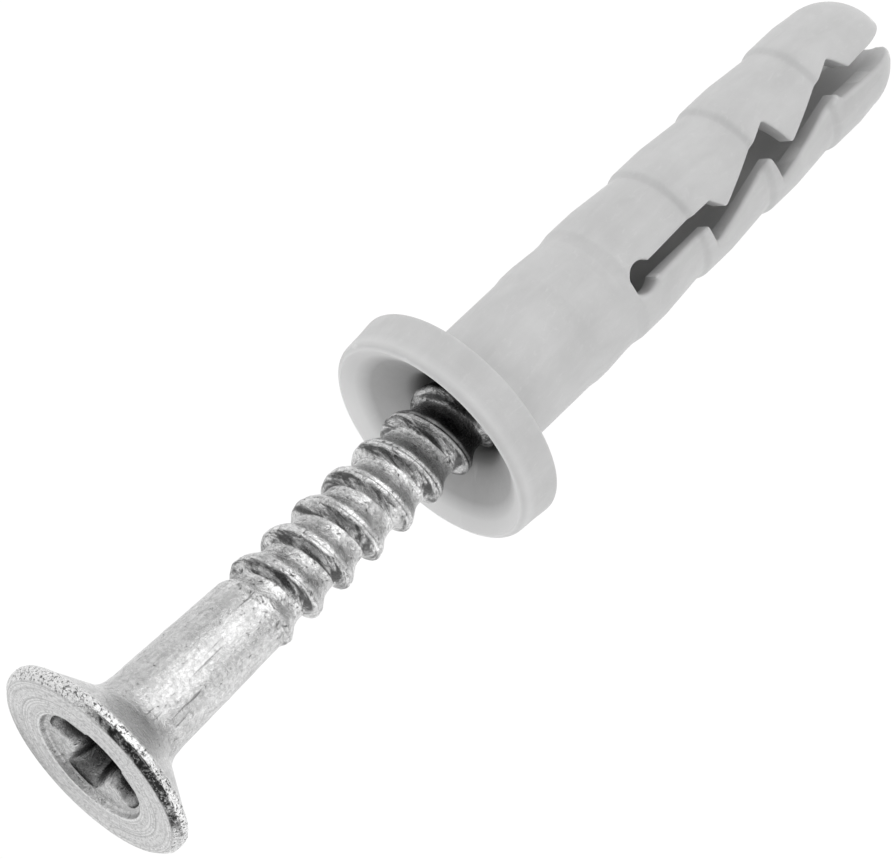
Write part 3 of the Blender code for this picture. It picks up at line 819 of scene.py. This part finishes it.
def zinc():
    """Bright zinc plate on a rolled nail: mottling, drawn lines, turned face, painted dark
    reflections, painted shade in crevices.
    """
    s = Shading("zinc_plate")
    where = s.place()
    x, y, z = s.add("ShaderNodeSeparateXYZ", {"Vector": where}).outputs
    out = s.from_axis(x, z)

    # Which part of the nail a place is on: the turned face, the thread, the rim.
    way = s.add("ShaderNodeTexCoord").outputs["Normal"]
    facing = s.add("ShaderNodeSeparateXYZ", {"Vector": way}).outputs["Y"]
    face = s.math("MULTIPLY", s.span(facing, -0.75, -0.93), s.span(y, FACE_Y + 0.3, FACE_Y + 0.15))
    thread = s.span(y, THREAD_START - 0.6, THREAD_START)
    rim = s.math("MULTIPLY", s.span(y, FACE_Y + 1.3, FACE_Y + 0.9), s.span(out, 5.9, 6.15))

    # The patterns.
    ring = s.add("ShaderNodeCombineXYZ", {"X": out}).outputs[0]
    turned = s.grain(ring, 6.0, 5.0, 0.8)
    patches = s.grain(where, 0.6, 5.0, 0.55, 0.8)
    crystals = s.grain(where, 3.6, 5.0, 0.75, 0.5)
    speckle = s.grain(where, 7.0, 4.0, 0.7)
    streaks = s.grain(s.place((1.0, 0.1, 1.0)), 2.6, 6.0, 0.65, 0.5)
    rolled = s.grain(s.place((0.4, 2.6, 0.4)), 1.0, 7.0, 0.7, 0.5)
    scores = s.span(s.grain(s.place((1.0, 0.06, 1.0)), 4.0, 3.0, 0.6, 0.3), 0.29, 0.36)
    pit_low = s.span(thread, 0.0, 1.0, 0.3, 0.33)
    pit_high = s.span(thread, 0.0, 1.0, 0.36, 0.4)
    pits = s.span(crystals, pit_low, pit_high)
    burrs = s.span(s.grain(where, 6.0, 5.0, 0.75, 0.3), 0.4, 0.47)
    pits = s.mix(rim, pits, burrs)
    lines = s.mix(thread, streaks, rolled)

    # Shank, thread and rim, with pits, and painted dark reflections on the thread's flanks that
    # face the head.
    tone = s.span(patches, 0.36, 0.64, 0.0, 0.2)
    tone = s.math("ADD", tone, s.span(crystals, 0.38, 0.6, 0.0, 0.5))
    tone = s.math("ADD", tone, s.span(lines, 0.36, 0.62, 0.0, 0.3))
    body = s.mix(tone, s.mix(thread, grey(0.4), grey(0.26)), s.mix(thread, grey(0.76), grey(0.95)))
    body = s.mix(scores, grey(0.24), body)
    # Painted dark reflection on the flanks that face the head, broken up by the rolled lines.
    flank = s.math("MULTIPLY", s.span(facing, -0.2, -0.45), thread)
    flank = s.math("MULTIPLY", flank, s.span(rolled, 0.44, 0.56, 0.95, 0.2))
    body = s.mix(flank, body, grey(0.06))
    body = s.mix(s.math("MULTIPLY", rim, 0.7), body, grey(0.92))
    body = s.mix(pits, grey(0.08), body)

    # The turned face.
    lathe = s.mix(s.span(turned, 0.36, 0.64), grey(0.36), grey(0.92))
    lathe = s.mix(s.span(speckle, 0.36, 0.52), grey(0.36), lathe)
    colour = s.mix(face, body, lathe)

    # A painted dark reflection: a dark crescent on the bevel between face and rim, mostly on its
    # upper side.
    bevel = s.math("MULTIPLY", s.span(facing, -0.93, -0.85), s.span(facing, -0.3, -0.5))
    bevel = s.math("MULTIPLY", bevel, s.span(out, CHAMFER_RADIUS - 0.1, CHAMFER_RADIUS))
    reflection_side = s.math("ADD", s.math("MULTIPLY", z, 0.16), s.math("MULTIPLY", patches, 0.9))
    bevel = s.math("MULTIPLY", bevel, s.span(reflection_side, 1.14, 1.34, 0.1, 1.0))
    bevel = s.math("MULTIPLY", bevel, s.span(crystals, 0.5, 0.58, 1.0, 0.6))
    colour = s.mix(bevel, colour, grey(0.03))

    # Painted shade: darker where ambient occlusion finds crevices and in the recess, and a painted
    # dark reflection on the roots of the thread next to the collar.
    recess = s.span(y, FACE_Y + RECESS_REACH + 0.6, FACE_Y + RECESS_REACH)
    crevice_shade = s.add("ShaderNodeAmbientOcclusion", {"Distance": 6.0 * MM}, samples=8).outputs["AO"]
    crevice_shade = s.math("ADD", crevice_shade, s.span(recess, 0.0, 1.0, 0.3, -0.2))
    crevice_shade = s.math("ADD", crevice_shade, s.span(y, COLLAR_FRONT - 8.0, COLLAR_FRONT - 2.0, 0.0, -0.25))
    colour = s.mix(s.span(crevice_shade, 0.3, 0.58), grey(0.03), colour)

    # Gloss and relief.
    blend = s.math("ADD", s.math("MULTIPLY", crystals, 0.5), s.math("MULTIPLY", patches, 0.5))
    rough = s.math("ADD", s.span(blend, 0.4, 0.6, 0.34, 0.16), s.math("MULTIPLY", face, 0.1))
    lumps = s.bump(patches, 0.2, 0.5)
    height = s.math("ADD", s.math("MULTIPLY", crystals, 0.7), s.math("MULTIPLY", pits, 0.4))
    height = s.math("ADD", height, s.math("MULTIPLY", lines, 0.5))
    height = s.math("ADD", height, s.math("MULTIPLY", speckle, 0.3))
    normal = s.bump(s.math("MULTIPLY", height, s.math("SUBTRACT", 1.0, face)), 0.07, 0.8, lumps)
    normal = s.bump(s.math("MULTIPLY", turned, face), 0.03, 1.0, normal)
    s.shader.inputs["Metallic"].default_value = 1.0
    return s.finish(Base_Color=colour, Roughness=rough, Normal=normal)


# ---------------------------------------------------------------- stage


def make_stage():
    """A plain white floor just under the plug's collar."""
    size = 3.0
    mesh = bpy.data.meshes.new("floor")
    gap = 0.0002
    z = sleeve_box[0].z * MM - gap
    corners = [(-size, -size, z), (size, -size, z), (size, size, z), (-size, size, z)]
    mesh.from_pydata(corners, [], [(0, 1, 2, 3)])
    floor = bpy.data.objects.new("floor", mesh)
    bpy.context.scene.collection.objects.link(floor)
    s = Shading("white_floor")
    s.shader.inputs["Base Color"].default_value = grey(0.0)
    s.shader.inputs["Specular IOR Level"].default_value = 0.0
    s.shader.inputs["Emission Color"].default_value = grey(1.0)
    s.shader.inputs["Emission Strength"].default_value = 1.02
    mesh.materials.append(s.material)


def add_softbox(name, direction, distance, size, radiance):
    """A square area light that faces the object, from so many metres away."""
    light = bpy.data.lights.new(name, "AREA")
    light.shape = "SQUARE"
    light.size = size
    light.energy = radiance * math.pi * size * size
    lamp = bpy.data.objects.new(name, light)
    bpy.context.scene.collection.objects.link(lamp)
    towards = Vector(direction).normalized()
    lamp.location = towards * distance
    lamp.rotation_euler = towards.to_track_quat("Z", "Y").to_euler()


def add_flag():
    """A black card in front of the head, out of the camera's sight, for contrast in the metal."""
    half_width, half_height = 0.11, 0.1
    x, y, z = -0.04, -0.2, 0.08
    corners = [(x - half_width, y, z - half_height), (x + half_width, y, z - half_height)]
    corners += [(x + half_width, y, z + half_height), (x - half_width, y, z + half_height)]
    mesh = bpy.data.meshes.new("black_card")
    mesh.from_pydata(corners, [], [(0, 1, 2, 3)])
    card = bpy.data.objects.new("black_card", mesh)
    bpy.context.scene.collection.objects.link(card)
    s = Shading("black_card")
    s.shader.inputs["Base Color"].default_value = grey(0.01)
    s.shader.inputs["Roughness"].default_value = 1.0
    mesh.materials.append(s.material)
    card.visible_camera = False


def make_lights():
    """A pale room, four softboxes and a black card."""
    world = bpy.data.worlds.new("studio")
    world.use_nodes = True
    background = world.node_tree.nodes["Background"]
    background.inputs["Color"].default_value = grey(1.0)
    background.inputs["Strength"].default_value = 0.5
    bpy.context.scene.world = world
    add_softbox("key", (-0.36, 0.42, 0.83), 0.45, 0.58, 1.25)
    add_softbox("side", (0.9, 0.15, 0.38), 0.55, 0.42, 1.05)
    add_softbox("front_right", (0.66, -0.68, 0.3), 0.5, 0.34, 1.1)
    add_softbox("front_left", (-0.76, -0.6, 0.25), 0.5, 0.34, 1.1)
    add_flag()


def make_camera():
    """A long lens that looks down on the head, with the plug going to the upper right."""
    back = Vector((-0.361, -0.424, 0.83)).normalized()
    right = Vector((0.510, 0.656, 0.557))
    right = (right - back * right.dot(back)).normalized()
    up = back.cross(right)
    distance = 0.225
    target = (Vector((0.15, -1.24, 0.07)) + 0.035 * (up - right)) * MM
    camera = bpy.data.cameras.new("camera")
    camera.sensor_width = 36.0
    camera.lens = 161.0
    camera.clip_start = 0.01
    camera.clip_end = 10.0
    camera.dof.use_dof = False
    holder = bpy.data.objects.new("camera", camera)
    bpy.context.scene.collection.objects.link(holder)
    turn = Matrix((right, up, back)).transposed()
    holder.matrix_world = Matrix.Translation(target + back * distance) @ turn.to_4x4()
    bpy.context.scene.camera = holder


# ---------------------------------------------------------------- assembly

grey_nylon = nylon()
zinc_plate = zinc()

sleeve = make_collar_and_sleeve(grey_nylon)
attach(sleeve, "plug")
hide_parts("plug_sleeve")

right_leg = make_leg(
    "expansion_leg_right_moulding", 1.0, right_edge(), RIGHT_EDGE_ROUNDING, grey_nylon
)
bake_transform(right_leg)
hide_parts("expansion_leg_right")

left_leg = make_leg(
    "expansion_leg_left_moulding", -1.0, left_edge(), LEFT_EDGE_ROUNDING, grey_nylon
)
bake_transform(left_leg)
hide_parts("expansion_leg_left")

nail = make_nail(zinc_plate)
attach(nail, "nail")
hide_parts("nail_screw")

make_stage()
make_lights()
make_camera()
bpy.context.scene.view_settings.view_transform = "Standard"
